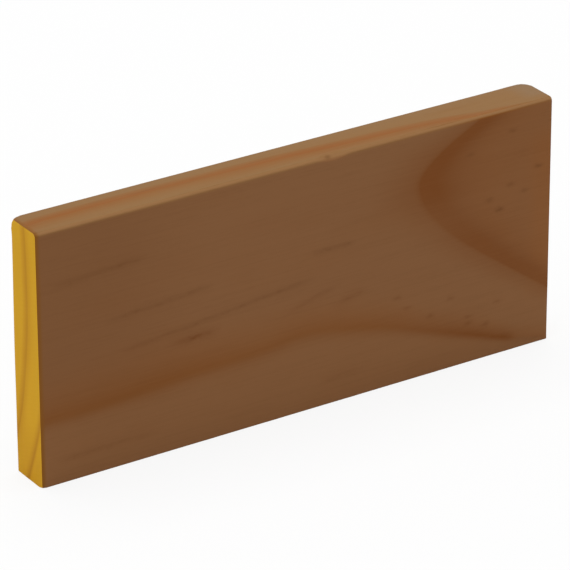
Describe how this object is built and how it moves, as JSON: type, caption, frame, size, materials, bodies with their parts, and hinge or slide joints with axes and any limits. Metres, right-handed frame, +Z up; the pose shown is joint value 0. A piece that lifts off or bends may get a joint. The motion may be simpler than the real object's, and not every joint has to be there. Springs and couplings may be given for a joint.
{
  "type": "cover strip",
  "caption": "Short length of flat planed softwood cover strip with eased edges and square cut ends, for hiding a joint or gap.",
  "frame": {"origin": "middle of the narrow edge that the strip stands on", "axes": "+X along the grain, +Y from the show face to the fixing face, +Z up across the width of the strip"},
  "size_m": [0.155, 0.012, 0.07],
  "materials": {
    "stained_wood": "brown stained softwood, satin, with light yellow cut ends"
  },
  "bodies": {
    "root": {"cover_strip": "stained_wood"}
  },
  "joints": []
}
